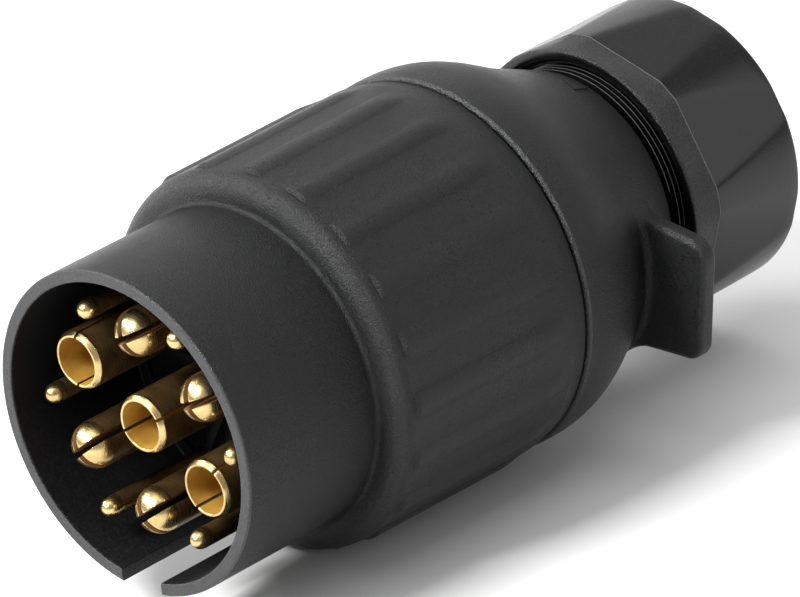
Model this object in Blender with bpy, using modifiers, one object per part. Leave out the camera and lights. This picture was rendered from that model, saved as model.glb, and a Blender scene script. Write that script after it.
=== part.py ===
"""A thirteen-pole trailer plug: shroud and grip, contact insert, contacts, rear housing and gland nut.

The long axis is world +Y, running from the mating rim back to the cable end. The keyway points down,
-Z. The origin is the middle of the plug's bounding box, on its underside. Every piece is modelled about
its own +Z, so a depth below is a distance behind the rim.
"""
from math import cos, pi, radians, sin

import bmesh
import bpy
from mathutils import Vector

MM = 0.001
GAP = 0.3  # clearance between two pieces that touch on the real plug
EDGE = 0.3  # usual chamfer

# Driving dimensions, in millimetres.
SHROUD_RADIUS = 19.2
SHROUD_WALL = 1.5
SHROUD_END = 19.6
KEYWAY_WIDTH = 6.1
KEYWAY_DEPTH = 17.8
KEYWAY_HEIGHT = 4.5
GRIP_END = 50.0
GRIP_FRONT_RADIUS = 22.75
GRIP_REAR_RADIUS = 23.05
RIB_COUNT = 20
RIB_START = 22.4
RIB_END = 47.2
RIB_HEIGHT = 0.35
FLUTE_DEPTH = 0.05
LIP_RADIUS = 16.2
LIP_START = 18.6
LIP_END = 21.5
CHAMBER_RADIUS = 19.0
SPIGOT_SOCKET_RADIUS = 20.6
SPIGOT_SOCKET_START = 41.2

INSERT_FACE = 18.9
INSERT_REAR = 30.0
INSERT_FLANGE_RADIUS = 18.7
HEXAGON_RADIUS = 10.8
SMALL_PIN_CIRCLE = 14.0
TUBE_RADIUS = 3.45
TUBE_BORE = 2.95
TUBE_RIM = 2.5
TUBE_BORE_END = 17.0
SPLIT_PIN_RADIUS = 2.75
SPLIT_PIN_TIP = 1.25
SLOT_END = 14.0
TUBE_SLIT_WIDTH = 0.35
SPLIT_PIN_SLOT_WIDTH = 0.65
SMALL_PIN_RADIUS = 1.15
SMALL_PIN_TIP = 1.8
SMALL_PIN_COLLAR = 1.7
SOLDER_CUP_RADIUS = 1.4
SOLDER_CUP_BORE = 0.95
SOLDER_CUP_START = 32.0
SOLDER_CUP_END = 36.0
HOLE_CLEARANCE = 0.2
COLLAR_LENGTH = 1.0
BARREL_RADIUS = 3.0
BARREL_END = 38.5
WIRE_BORE = 1.6
TERMINAL_SCREW_DEPTH = 34.8
TERMINAL_SCREW_RADIUS = 1.25
TERMINAL_SCREW_HEAD = 2.0
TERMINAL_SCREW_HEAD_HEIGHT = 1.4
TERMINAL_SCREW_TIP = 1.0  # how near the screw's tip comes to its contact's axis
INSERT_SCREW_CIRCLE = 17.5
INSERT_SCREW_RADIUS = 0.7
INSERT_SCREW_HEAD = 1.3
INSERT_SCREW_HEAD_HEIGHT = 1.0
INSERT_SCREW_REACH = 1.9  # how far the screw goes into the lip

HOUSING_START = GRIP_END + GAP
SPIGOT_RADIUS = 20.2
SPIGOT_START = 42.0
SPIGOT_WALL = 2.6
SEAL_DEPTH = 48.5
SEAL_SECTION_RADIUS = 0.55
SEAL_GROOVE_DEPTH = 1.3
SEAL_GROOVE_HALF = 0.85
NECK_START = 72.3
NECK_END = 86.0
NECK_CORE_RADIUS = 14.1
NECK_BORE = 11.8
THREAD_CREST_RADIUS = 14.95
THREAD_START = 73.9
THREAD_PITCH = 1.5
THREAD_TURNS = 5
THREAD_SUNK = 0.3
THREAD_FOOT = 0.45  # half the ridge's width at its foot, as a share of the pitch
THREAD_LAND = 0.1  # and on its crest
CABLE_PASSAGE = 8.8
FIN_ANGLE = -8.0
FIN_FRONT = 64.3
FIN_THICKNESS = 2.3
FIN_WIDTH = 15.4
FIN_REACH = 27.2
FIN_CORNER = 2.4
FIN_ROOT = 14.6
FIN_FLARE = 1.7  # how much wider the root is on the lower side

GLAND_SEAL_RADIUS = 11.5
GLAND_SEAL_BORE = 5.5
GLAND_SEAL_START = 77.3
GLAND_SEAL_END = 88.0
WASHER_RADIUS = 14.8
WASHER_BORE = 6.1
WASHER_THICKNESS = 1.0
NUT_START = 74.6
NUT_END = 92.4
NUT_FACETS = 8
NUT_FACET_START = 78.0
NUT_APOTHEM_FRONT = 17.2
NUT_APOTHEM_REAR = 17.3
NUT_MOUTH_RADIUS = 17.35
NUT_CORNER_FRONT = 18.05
NUT_CORNER_REAR = 17.6
NUT_CORNER_ANGLE = 6.0
NUT_BORE = 15.3
NUT_CABLE_HOLE = 8.0

# The bounding box reaches to the grip's ribs on one side and to the lug's upper corner on the other.
GRIP_REACH = GRIP_REAR_RADIUS + RIB_HEIGHT
FIN_REACH_X = (
    (FIN_REACH - FIN_CORNER) * cos(radians(FIN_ANGLE))
    - (FIN_WIDTH / 2 - FIN_CORNER) * sin(radians(FIN_ANGLE))
    + FIN_CORNER
)

ROUND_STEPS = 48
RIB_STEPS = 4 * RIB_COUNT

# Angles seen from the mating end, counted from +X towards +Z.
TUBE_PLACES = {"left": (HEXAGON_RADIUS, 150), "centre": (0, 0), "right": (HEXAGON_RADIUS, 330)}
TUBE_SLITS = {"left": 86, "centre": 26, "right": 58}
SPLIT_PIN_PLACES = {"top": 90, "upper_right": 30, "lower_left": 210, "bottom": 270}
SPLIT_PIN_SLOTS = {"top": 26, "upper_right": 23, "lower_left": 39, "bottom": 36}
INSERT_SCREW_ANGLES = (90, 210, 330)


# ---------------------------------------------------------------------- scene and materials

def clear_scene():
    for obj in list(bpy.data.objects):
        bpy.data.objects.remove(obj, do_unlink=True)


def new_collection(name):
    made = bpy.data.collections.new(name)
    bpy.context.scene.collection.children.link(made)
    return made


def material(name, colour, roughness, metallic=0.0):
    made = bpy.data.materials.new(name)
    made.use_nodes = True
    shader = made.node_tree.nodes["Principled BSDF"]
    shader.inputs["Base Color"].default_value = (*colour, 1.0)
    shader.inputs["Roughness"].default_value = roughness
    shader.inputs["Metallic"].default_value = metallic
    return made


def new_empty(name, parent=None):
    empty = bpy.data.objects.new(name, None)
    parts.objects.link(empty)
    empty.parent = parent
    return empty


def place(obj, parent, x=0.0, y=0.0, depth=0.0):
    obj.parent = parent
    obj.location = (x * MM, y * MM, depth * MM)
    return obj


def polar(radius, angle):
    """The local x and y of a point at this angle as seen from the mating end."""
    return radius * cos(radians(angle)), -radius * sin(radians(angle))


# ---------------------------------------------------------------------- shapes

def arc(centre_r, centre_d, radius, start, end, count=4):
    """Points (r, depth) along an arc, its angles in degrees from +r towards +depth."""
    angles = [radians(start + (end - start) * i / count) for i in range(count + 1)]
    return [(centre_r + radius * cos(a), centre_d + radius * sin(a)) for a in angles]


def runs_clockwise(profile):
    following = profile[1:] + profile[:1]
    return sum(a[0] * b[1] - b[0] * a[1] for a, b in zip(profile, following)) < 0


def finish_mesh(obj, collection, mat=None):
    collection.objects.link(obj)
    if mat:
        obj.data.materials.append(mat)
    return obj


def smooth(obj, angle=35):
    obj.data.shade_smooth()
    obj.data.set_sharp_from_angle(angle=radians(angle))
    return obj


def turned(name, profile, collection, mat=None, steps=ROUND_STEPS):
    """A turned shape from its outline of (r, depth) points, which may start and end on the axis."""
    if not runs_clockwise(profile):
        profile = profile[::-1]
    mesh = bpy.data.meshes.new(name)
    count = len(profile)
    on_axis = profile[0][0] == 0 and profile[-1][0] == 0
    edges = [(i, i + 1) for i in range(count - 1)]
    if not on_axis:
        edges.append((count - 1, 0))
    mesh.from_pydata([(r * MM, 0, d * MM) for r, d in profile], edges, [])
    obj = finish_mesh(bpy.data.objects.new(name, mesh), collection, mat)
    screw = obj.modifiers.new("Turn", "SCREW")
    screw.steps = screw.render_steps = steps
    screw.use_merge_vertices = True
    screw.merge_threshold = 0.00001
    screw.use_smooth_shade = True
    return obj


def lofted_ring(name, rows, steps, collection, mat, first_angle=0.0):
    """A ring-shaped skin through closed rows, each given as radius(angle) and a depth."""
    made = bmesh.new()
    rings = []
    for radius, depth in rows:
        ring = []
        for i in range(steps):
            angle = first_angle + 360 * i / steps
            x, y = polar(radius(angle), angle)
            ring.append(made.verts.new((x * MM, y * MM, depth * MM)))
        rings.append(ring)
    for first, second in zip(rings, rings[1:] + rings[:1]):
        for i in range(steps):
            j = (i + 1) % steps
            made.faces.new((first[i], first[j], second[j], second[i]))
    bmesh.ops.recalc_face_normals(made, faces=made.faces)
    mesh = bpy.data.meshes.new(name)
    made.to_mesh(mesh)
    made.free()
    return smooth(finish_mesh(bpy.data.objects.new(name, mesh), collection, mat))


def box_cutter(name, size, parent, centre, turn=0.0):
    """A box with its sides along x, y and depth, turned by an angle seen from the mating end."""
    mesh = bpy.data.meshes.new(name)
    made = bmesh.new()
    bmesh.ops.create_cube(made, size=1.0)
    bmesh.ops.scale(made, vec=Vector(size) * MM, verts=made.verts)
    made.to_mesh(mesh)
    made.free()
    obj = finish_mesh(bpy.data.objects.new(name, mesh), cutters)
    place(obj, parent, *centre)
    obj.rotation_euler.z = -radians(turn)
    return obj


def round_cutter(name, radius, start, end, parent, x=0.0, y=0.0, steps=20):
    mesh = bpy.data.meshes.new(name)
    made = bmesh.new()
    length = (end - start) * MM
    bmesh.ops.create_cone(
        made, cap_ends=True, segments=steps, radius1=radius * MM, radius2=radius * MM, depth=length
    )
    made.to_mesh(mesh)
    made.free()
    obj = finish_mesh(bpy.data.objects.new(name, mesh), cutters)
    return place(obj, parent, x, y, (start + end) / 2)


def boolean(obj, other, operation="DIFFERENCE", solver="EXACT"):
    other.hide_render = True
    other.display_type = "WIRE"
    modifier = obj.modifiers.new(other.name, "BOOLEAN")
    modifier.operation = operation
    modifier.solver = solver
    modifier.object = other
    return obj


def point_along(obj, angle):
    """Turns the object's own +Z outwards across the plug, at this angle from the mating end."""
    x, y = polar(1, angle)
    obj.rotation_mode = "QUATERNION"
    obj.rotation_quaternion = Vector((x, y, 0)).to_track_quat("Z", "Y")
    return obj


# ---------------------------------------------------------------------- front shell

def rib_profile(height):
    """How far the grip stands out at an angle: a flat rib crest, then a hollow flute."""
    pitch = 360 / RIB_COUNT

    def rise(angle):
        offset = abs((angle + pitch / 2) % pitch - pitch / 2)
        return height if offset <= pitch / 4 + 0.01 else -FLUTE_DEPTH

    return rise


def constant(value):
    return lambda angle: value


def ribbed(radius):
    rise = rib_profile(RIB_HEIGHT)
    return lambda angle: radius + rise(angle)


def build_front_shell(mat):
    bore = SHROUD_RADIUS - SHROUD_WALL
    outside = [
        (constant(SHROUD_RADIUS - EDGE), 0.0),
        (constant(SHROUD_RADIUS), EDGE),
        (constant(SHROUD_RADIUS), SHROUD_END - EDGE),
        (constant(SHROUD_RADIUS + 0.45), SHROUD_END + 0.2),
        (constant(GRIP_FRONT_RADIUS - 1.1), SHROUD_END + 0.55),
        (constant(GRIP_FRONT_RADIUS - 0.3), SHROUD_END + 1.3),
        (constant(GRIP_FRONT_RADIUS), RIB_START - 0.1),
        (ribbed(GRIP_FRONT_RADIUS), RIB_START + 0.2),
        (ribbed(GRIP_REAR_RADIUS), RIB_END - 0.2),
        (constant(GRIP_REAR_RADIUS), RIB_END + 0.1),
        (constant(GRIP_REAR_RADIUS), GRIP_END - 0.5),
        (constant(GRIP_REAR_RADIUS - 0.35), GRIP_END),
    ]
    inside = [
        (constant(SPIGOT_SOCKET_RADIUS), GRIP_END),
        (constant(SPIGOT_SOCKET_RADIUS), SPIGOT_SOCKET_START),
        (constant(CHAMBER_RADIUS), SPIGOT_SOCKET_START),
        (constant(CHAMBER_RADIUS), LIP_END),
        (constant(LIP_RADIUS), LIP_END),
        (constant(LIP_RADIUS), LIP_START),
        (constant(bore), LIP_START),
        (constant(bore), 0.0),
    ]
    shell = lofted_ring("front_shell", outside + inside, RIB_STEPS, parts, mat)
    place(shell, plug_axis)
    keyway = box_cutter(
        "keyway",
        (KEYWAY_WIDTH, KEYWAY_HEIGHT, KEYWAY_DEPTH + 2),
        plug_axis,
        (0, SHROUD_RADIUS - 0.4, KEYWAY_DEPTH / 2 - 1),
    )
    boolean(shell, keyway)
    for i, angle in enumerate(INSERT_SCREW_ANGLES, 1):
        x, y = polar(INSERT_SCREW_CIRCLE, angle)
        radius = INSERT_SCREW_RADIUS + HOLE_CLEARANCE
        bottom = LIP_END - INSERT_SCREW_REACH - 0.4
        pilot = round_cutter(f"pilot_{i}", radius, bottom, LIP_END + 1, plug_axis, x, y, 12)
        boolean(shell, pilot)
    return shell


# ---------------------------------------------------------------------- contact insert and contacts

def build_insert(mat):
    centre_hole = TUBE_RADIUS + HOLE_CLEARANCE
    outline = [
        (centre_hole, INSERT_FACE),
        (LIP_RADIUS - 0.25, INSERT_FACE),
        (LIP_RADIUS - 0.25, LIP_END + GAP),
        (INSERT_FLANGE_RADIUS, LIP_END + GAP),
        (INSERT_FLANGE_RADIUS, INSERT_REAR),
        (centre_hole, INSERT_REAR),
    ]
    insert = place(turned("contact_insert", outline, parts, mat), plug_axis)
    holes = [(TUBE_RADIUS, *polar(*spot)) for spot in TUBE_PLACES.values() if spot[0] > 0]
    holes += [(SPLIT_PIN_RADIUS, *polar(HEXAGON_RADIUS, angle)) for angle in SPLIT_PIN_PLACES.values()]
    holes += [(SMALL_PIN_RADIUS, *polar(SMALL_PIN_CIRCLE, 60 * i)) for i in range(6)]
    holes += [(INSERT_SCREW_RADIUS, *polar(INSERT_SCREW_CIRCLE, angle)) for angle in INSERT_SCREW_ANGLES]
    for i, (radius, x, y) in enumerate(holes, 1):
        hole = round_cutter(
            f"insert_hole_{i}",
            radius + HOLE_CLEARANCE,
            INSERT_FACE - 1,
            INSERT_REAR + 1,
            plug_axis,
            x,
            y,
            20 if radius > 2 else 10,
        )
        boolean(insert, hole, solver="MANIFOLD")
    return insert


def barrel_outline(shaft_radius, collar_radius):
    """The back of a large contact, from its shaft through the collar and screw barrel to the wire bore."""
    collar = INSERT_REAR + GAP
    return [
        (shaft_radius, collar),
        (collar_radius, collar),
        (collar_radius, collar + COLLAR_LENGTH),
        (BARREL_RADIUS, collar + COLLAR_LENGTH),
        (BARREL_RADIUS, BARREL_END),
        (WIRE_BORE, BARREL_END),
        (WIRE_BORE, collar + COLLAR_LENGTH),
        (0, collar + COLLAR_LENGTH),
    ]


def add_terminal(contact, name, x, y, angle):
    """Cuts the cross hole through the barrel's wall and adds the clamp screw that turns in it."""
    hole = round_cutter(
        f"{name}_cross_hole", TERMINAL_SCREW_RADIUS + HOLE_CLEARANCE, 0, 5, plug_axis, steps=12
    )
    out_x, out_y = polar(BARREL_RADIUS, angle)
    hole.location = Vector((x + out_x, y + out_y, TERMINAL_SCREW_DEPTH)) * MM
    boolean(contact, point_along(hole, angle))
    under = BARREL_RADIUS + GAP
    top = under + TERMINAL_SCREW_HEAD_HEIGHT
    outline = [
        (0, TERMINAL_SCREW_TIP),
        (TERMINAL_SCREW_RADIUS - EDGE, TERMINAL_SCREW_TIP),
        (TERMINAL_SCREW_RADIUS, TERMINAL_SCREW_TIP + EDGE),
        (TERMINAL_SCREW_RADIUS, under),
        (TERMINAL_SCREW_HEAD, under),
        (TERMINAL_SCREW_HEAD, top - EDGE),
        (TERMINAL_SCREW_HEAD - EDGE, top),
        (0, top),
    ]
    screw = turned(f"terminal_screw_{name}", outline, parts, steel, 12)
    place(screw, plug_axis, x, y, TERMINAL_SCREW_DEPTH)
    point_along(screw, angle)
    slot = box_cutter(f"{name}_slot", (0.5, 3 * TERMINAL_SCREW_HEAD, 0.7), screw, (0, 0, top))
    return boolean(screw, slot)


def build_tube_contact(place_name, mat):
    radius, angle = TUBE_PLACES[place_name]
    x, y = polar(radius, angle)
    front = [
        (0, TUBE_BORE_END),
        (TUBE_BORE, TUBE_BORE_END),
        (TUBE_BORE, TUBE_RIM),
        (TUBE_RADIUS - 0.25, TUBE_RIM),
        (TUBE_RADIUS, TUBE_RIM + EDGE),
    ]
    outline = front + barrel_outline(TUBE_RADIUS, TUBE_RADIUS + 0.75)
    contact = place(turned(f"tube_contact_{place_name}", outline, parts, mat, 20), plug_axis, x, y)
    length = SLOT_END - TUBE_RIM + 1
    slit = box_cutter(
        f"{place_name}_slit",
        (TUBE_SLIT_WIDTH, 3 * TUBE_RADIUS, length),
        plug_axis,
        (x, y, SLOT_END - length / 2),
        TUBE_SLITS[place_name] - 90,
    )
    boolean(contact, slit)
    add_terminal(contact, f"tube_{place_name}", x, y, angle)
    return contact


def build_split_pin(place_name, mat):
    angle = SPLIT_PIN_PLACES[place_name]
    x, y = polar(HEXAGON_RADIUS, angle)
    dome = arc(0, SPLIT_PIN_TIP + SPLIT_PIN_RADIUS, SPLIT_PIN_RADIUS, -90, 0, 5)
    dome[0] = (0, SPLIT_PIN_TIP)
    outline = dome + barrel_outline(SPLIT_PIN_RADIUS, SPLIT_PIN_RADIUS + 1.0)
    contact = place(turned(f"split_pin_{place_name}", outline, parts, mat, 16), plug_axis, x, y)
    length = SLOT_END - SPLIT_PIN_TIP + 1
    for i, turn in enumerate((0, 90), 1):
        slot = box_cutter(
            f"{place_name}_split_{i}",
            (SPLIT_PIN_SLOT_WIDTH, 3 * SPLIT_PIN_RADIUS, length),
            plug_axis,
            (x, y, SLOT_END - length / 2),
            SPLIT_PIN_SLOTS[place_name] + turn,
        )
        boolean(contact, slot)
    add_terminal(contact, f"pin_{place_name}", x, y, angle)
    return contact


def build_small_pin(number, mat):
    x, y = polar(SMALL_PIN_CIRCLE, 60 * (number - 1))
    tip = arc(0, SMALL_PIN_TIP + SMALL_PIN_RADIUS, SMALL_PIN_RADIUS, -90, 0, 3)
    tip[0] = (0, SMALL_PIN_TIP)
    collar = INSERT_REAR + GAP
    outline = tip + [
        (SMALL_PIN_RADIUS, collar),
        (SMALL_PIN_COLLAR, collar),
        (SMALL_PIN_COLLAR, collar + COLLAR_LENGTH),
        (SOLDER_CUP_RADIUS, collar + COLLAR_LENGTH),
        (SOLDER_CUP_RADIUS, SOLDER_CUP_END),
        (SOLDER_CUP_BORE, SOLDER_CUP_END),
        (SOLDER_CUP_BORE, SOLDER_CUP_START),
        (0, SOLDER_CUP_START),
    ]
    return place(turned(f"small_pin_{number}", outline, parts, mat, 10), plug_axis, x, y)


def build_insert_screw(number, angle, mat):
    x, y = polar(INSERT_SCREW_CIRCLE, angle)
    under = INSERT_REAR + GAP
    top = under + INSERT_SCREW_HEAD_HEIGHT
    tip = LIP_END - INSERT_SCREW_REACH
    outline = [
        (0, tip),
        (INSERT_SCREW_RADIUS, tip + INSERT_SCREW_RADIUS),
        (INSERT_SCREW_RADIUS, under),
        (INSERT_SCREW_HEAD, under),
        (INSERT_SCREW_HEAD, top - EDGE),
        (INSERT_SCREW_HEAD - EDGE, top),
        (0, top),
    ]
    screw = place(turned(f"insert_screw_{number}", outline, parts, mat, 12), plug_axis, x, y)
    size = (3 * INSERT_SCREW_HEAD, 0.4, 0.8)
    slot = box_cutter(f"insert_screw_slot_{number}", size, plug_axis, (x, y, top), angle)
    return boolean(screw, slot)


# ---------------------------------------------------------------------- rear housing and its seal

def build_neck_thread(steps=16):
    """A helical ridge that fades in and out over half a turn at each end, sunk into the neck."""
    made = bmesh.new()
    total = THREAD_TURNS * steps
    rings = []
    for i in range(total + 1):
        fade = min(1, i / (steps / 2), (total - i) / (steps / 2))
        angle = 2 * pi * i / steps
        middle = THREAD_START + THREAD_PITCH * i / steps
        root = NECK_CORE_RADIUS - THREAD_SUNK
        tip = NECK_CORE_RADIUS + (THREAD_CREST_RADIUS - NECK_CORE_RADIUS) * fade
        section = [(root, -THREAD_FOOT), (tip, -THREAD_LAND), (tip, THREAD_LAND), (root, THREAD_FOOT)]
        ring = []
        for r, share in section:
            depth = middle + share * THREAD_PITCH
            ring.append(made.verts.new((r * cos(angle) * MM, r * sin(angle) * MM, depth * MM)))
        rings.append(ring)
    for first, second in zip(rings, rings[1:]):
        for i in range(len(first)):
            j = (i + 1) % len(first)
            made.faces.new((first[i], first[j], second[j], second[i]))
    made.faces.new(rings[0])
    made.faces.new(rings[-1])
    bmesh.ops.recalc_face_normals(made, faces=made.faces)
    mesh = bpy.data.meshes.new("neck_thread")
    made.to_mesh(mesh)
    made.free()
    return place(finish_mesh(bpy.data.objects.new("neck_thread", mesh), cutters), housing_axis)


def build_fin():
    """The lug on the housing's shoulder: a flat plate with rounded outer corners and a wider lower root."""
    half = FIN_WIDTH / 2
    corners = []
    for side in (-1, 1):
        turn = arc(FIN_REACH - FIN_CORNER, side * (half - FIN_CORNER), FIN_CORNER, 0, side * 90, 5)
        corners += turn[::-1] if side < 0 else turn
    outline = corners + [(FIN_ROOT, half + FIN_FLARE), (FIN_ROOT, -half)]
    curve = bpy.data.curves.new("fin_outline", "CURVE")
    curve.dimensions = "2D"
    curve.fill_mode = "BOTH"
    curve.extrude = FIN_THICKNESS / 2 * MM
    spline = curve.splines.new("POLY")
    spline.points.add(len(outline) - 1)
    for point, (out, across) in zip(spline.points, outline):
        point.co = (out * MM, across * MM, 0, 1)
    spline.use_cyclic_u = True
    guide = bpy.data.objects.new("fin_guide", curve)
    cutters.objects.link(guide)
    place(guide, housing_axis, 0, 0, FIN_FRONT + FIN_THICKNESS / 2)
    guide.rotation_euler.z = -radians(FIN_ANGLE)
    bpy.context.view_layer.update()
    mesh = bpy.data.meshes.new_from_object(guide.evaluated_get(bpy.context.evaluated_depsgraph_get()))
    made = bmesh.new()
    made.from_mesh(mesh)
    bmesh.ops.remove_doubles(made, verts=made.verts, dist=0.00001)
    made.to_mesh(mesh)
    made.free()
    fin = finish_mesh(bpy.data.objects.new("fin", mesh), cutters)
    fin.parent = housing_axis
    fin.location = guide.location
    fin.rotation_euler = guide.rotation_euler
    bpy.data.objects.remove(guide, do_unlink=True)
    return fin


def build_rear_housing(mat):
    spigot_bore = SPIGOT_RADIUS - SPIGOT_WALL
    groove = SPIGOT_RADIUS - SEAL_GROOVE_DEPTH
    spigot = [
        (spigot_bore, SPIGOT_START),
        (SPIGOT_RADIUS - EDGE, SPIGOT_START),
        (SPIGOT_RADIUS, SPIGOT_START + EDGE),
        (SPIGOT_RADIUS, SEAL_DEPTH - SEAL_GROOVE_HALF),
        (groove, SEAL_DEPTH - SEAL_GROOVE_HALF),
        (groove, SEAL_DEPTH + SEAL_GROOVE_HALF),
        (SPIGOT_RADIUS, SEAL_DEPTH + SEAL_GROOVE_HALF),
        (SPIGOT_RADIUS, HOUSING_START),
    ]
    shoulder = [
        (22.8 - EDGE, HOUSING_START),
        (22.8, HOUSING_START + EDGE),
        (22.95, 52.6),
        (22.85, 54.6),
        (22.4, 56.8),
        (21.6, 59.0),
        (20.3, 61.6),
        (19.05, 64.0),
        (17.4, 68.0),
        (16.0, 71.6),
        (15.7, NECK_START),
        (NECK_CORE_RADIUS, NECK_START + 0.2),
        (NECK_CORE_RADIUS, NECK_END - 0.5),
        (NECK_CORE_RADIUS - 0.5, NECK_END),
    ]
    cavity = [
        (NECK_BORE, NECK_END),
        (NECK_BORE, GLAND_SEAL_START - GAP),
        (CABLE_PASSAGE, GLAND_SEAL_START - GAP),
        (CABLE_PASSAGE, 75.0),
        (12.4, 71.0),
        (16.6, 62.0),
        (19.4, 56.0),
        (19.4, 53.5),
        (spigot_bore, 51.0),
    ]
    housing = turned("rear_housing", spigot + shoulder + cavity, parts, mat)
    place(housing, housing_axis)
    boolean(housing, build_fin(), "UNION")
    return boolean(housing, build_neck_thread(), "UNION")


def build_housing_seal(mat):
    centre = SPIGOT_RADIUS - SEAL_SECTION_RADIUS + 0.1
    ring = arc(centre, SEAL_DEPTH, SEAL_SECTION_RADIUS, 0, 360, 6)[:-1]
    return place(turned("housing_seal", ring, parts, mat, 40), housing_axis)


# ---------------------------------------------------------------------- cable gland

def build_gland_seal(mat):
    outline = [
        (GLAND_SEAL_BORE, GLAND_SEAL_START),
        (GLAND_SEAL_RADIUS - 0.8, GLAND_SEAL_START),
        (GLAND_SEAL_RADIUS, GLAND_SEAL_START + 0.8),
        (GLAND_SEAL_RADIUS, GLAND_SEAL_END - 1.2),
        (GLAND_SEAL_RADIUS - 1.2, GLAND_SEAL_END),
        (GLAND_SEAL_BORE, GLAND_SEAL_END),
    ]
    return place(turned("gland_seal", outline, parts, mat, 32), housing_axis)


def build_thrust_washer(mat):
    start = GLAND_SEAL_END + GAP
    outline = [
        (WASHER_BORE, start),
        (WASHER_RADIUS, start),
        (WASHER_RADIUS, start + WASHER_THICKNESS),
        (WASHER_BORE, start + WASHER_THICKNESS),
    ]
    return place(turned("thrust_washer", outline, parts, mat, 32), nut_axis)


def octagon(apothem, corner):
    """The radius of the nut's facets at an angle, no more than its rounded corners."""
    pitch = 360 / NUT_FACETS

    def radius(angle):
        from_middle = (angle - NUT_CORNER_ANGLE) % pitch - pitch / 2
        return min(apothem / cos(radians(from_middle)), corner)

    return radius


def build_gland_nut(mat):
    washer_end = GLAND_SEAL_END + GAP + WASHER_THICKNESS
    rows = [
        (constant(NUT_MOUTH_RADIUS - EDGE), NUT_START),
        (constant(NUT_MOUTH_RADIUS), NUT_START + EDGE),
        (octagon(NUT_APOTHEM_FRONT, NUT_CORNER_FRONT), NUT_FACET_START),
        (octagon(NUT_APOTHEM_REAR, NUT_CORNER_REAR), NUT_END - 0.5),
        (octagon(NUT_APOTHEM_REAR - 0.5, NUT_CORNER_REAR - 0.5), NUT_END),
        (constant(NUT_CABLE_HOLE + 0.5), NUT_END),
        (constant(NUT_CABLE_HOLE), NUT_END - 0.5),
        (constant(NUT_CABLE_HOLE), washer_end + GAP),
        (constant(NUT_BORE), washer_end + GAP),
        (constant(NUT_BORE), NUT_START + 1.0),
        (constant(NUT_BORE + 0.8), NUT_START),
    ]
    nut = lofted_ring("gland_nut", rows, 6 * NUT_FACETS, parts, mat, NUT_CORNER_ANGLE)
    nut.parent = nut_axis
    return nut


# ---------------------------------------------------------------------- assembly

clear_scene()
parts = new_collection("trailer_wiring_connector")
cutters = new_collection("cutters")

black_plastic = material("black_plastic", (0.022, 0.022, 0.023), 0.55)
gloss_plastic = material("gloss_plastic", (0.014, 0.014, 0.015), 0.3)
insert_plastic = material("insert_plastic", (0.012, 0.012, 0.012), 0.6)
brass = material("brass", (0.83, 0.6, 0.27), 0.22, 1.0)
steel = material("steel", (0.6, 0.6, 0.58), 0.35, 1.0)
rubber = material("rubber", (0.02, 0.02, 0.02), 0.8)

# The plug's axis: local +Z becomes world +Y, and its start is the middle of the mating rim.
plug_axis = new_empty("plug_axis")
plug_axis.location = Vector(((GRIP_REACH - FIN_REACH_X) / 2, -NUT_END / 2, GRIP_REACH)) * MM
plug_axis.rotation_euler.x = -pi / 2
housing_axis = new_empty("housing_axis", plug_axis)
nut_axis = new_empty("nut_axis", housing_axis)

build_front_shell(black_plastic)
build_insert(insert_plastic)
for place_name in TUBE_PLACES:
    build_tube_contact(place_name, brass)
for place_name in SPLIT_PIN_PLACES:
    build_split_pin(place_name, brass)
for number in range(1, 7):
    build_small_pin(number, brass)
for number, angle in enumerate(INSERT_SCREW_ANGLES, 1):
    build_insert_screw(number, angle, steel)
build_housing_seal(rubber)
build_rear_housing(black_plastic)
build_gland_seal(rubber)
build_thrust_washer(insert_plastic)
build_gland_nut(gloss_plastic)
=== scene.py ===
from math import acos, cos, hypot, pi, radians, sin, sqrt, tan

import bmesh
import bpy
import numpy as np
from mathutils import Matrix, Vector


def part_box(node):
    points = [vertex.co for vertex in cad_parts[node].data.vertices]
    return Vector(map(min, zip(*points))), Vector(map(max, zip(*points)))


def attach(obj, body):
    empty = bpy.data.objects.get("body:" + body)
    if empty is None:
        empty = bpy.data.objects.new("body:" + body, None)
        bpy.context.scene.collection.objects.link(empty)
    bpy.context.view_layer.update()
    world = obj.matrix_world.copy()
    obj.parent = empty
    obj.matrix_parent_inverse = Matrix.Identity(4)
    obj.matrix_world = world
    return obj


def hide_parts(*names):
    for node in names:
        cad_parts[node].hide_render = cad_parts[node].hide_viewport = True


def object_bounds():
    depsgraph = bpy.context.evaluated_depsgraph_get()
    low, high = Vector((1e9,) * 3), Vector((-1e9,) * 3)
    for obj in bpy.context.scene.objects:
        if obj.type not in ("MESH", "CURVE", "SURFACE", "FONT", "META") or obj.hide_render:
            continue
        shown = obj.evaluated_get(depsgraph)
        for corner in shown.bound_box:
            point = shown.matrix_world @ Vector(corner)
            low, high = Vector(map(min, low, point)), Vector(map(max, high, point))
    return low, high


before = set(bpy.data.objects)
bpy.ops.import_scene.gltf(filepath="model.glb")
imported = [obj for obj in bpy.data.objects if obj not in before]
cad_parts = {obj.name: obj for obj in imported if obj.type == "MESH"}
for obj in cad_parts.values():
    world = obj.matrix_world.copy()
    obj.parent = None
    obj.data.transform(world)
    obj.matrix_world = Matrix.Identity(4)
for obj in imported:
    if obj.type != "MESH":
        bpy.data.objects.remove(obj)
cad_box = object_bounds()

# Distances are in millimetres. Pieces are built about the plug's axis, which runs along +Y from the middle
# of the mating rim: a depth is a distance behind the rim, and an angle runs from +X towards +Z, as seen
# from the mating end. Each finished piece is then moved to where that axis lies in the frame.
MM = 0.001
insert_low, insert_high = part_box("contact_insert")
AXIS = Vector((
    (insert_low.x + insert_high.x) / 2,
    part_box("front_shell")[0].y,
    (insert_low.z + insert_high.z) / 2,
))


def depths(node):
    low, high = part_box(node)
    return (low.y - AXIS.y) / MM, (high.y - AXIS.y) / MM


# ---------------------------------------------------------------------- materials

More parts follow.
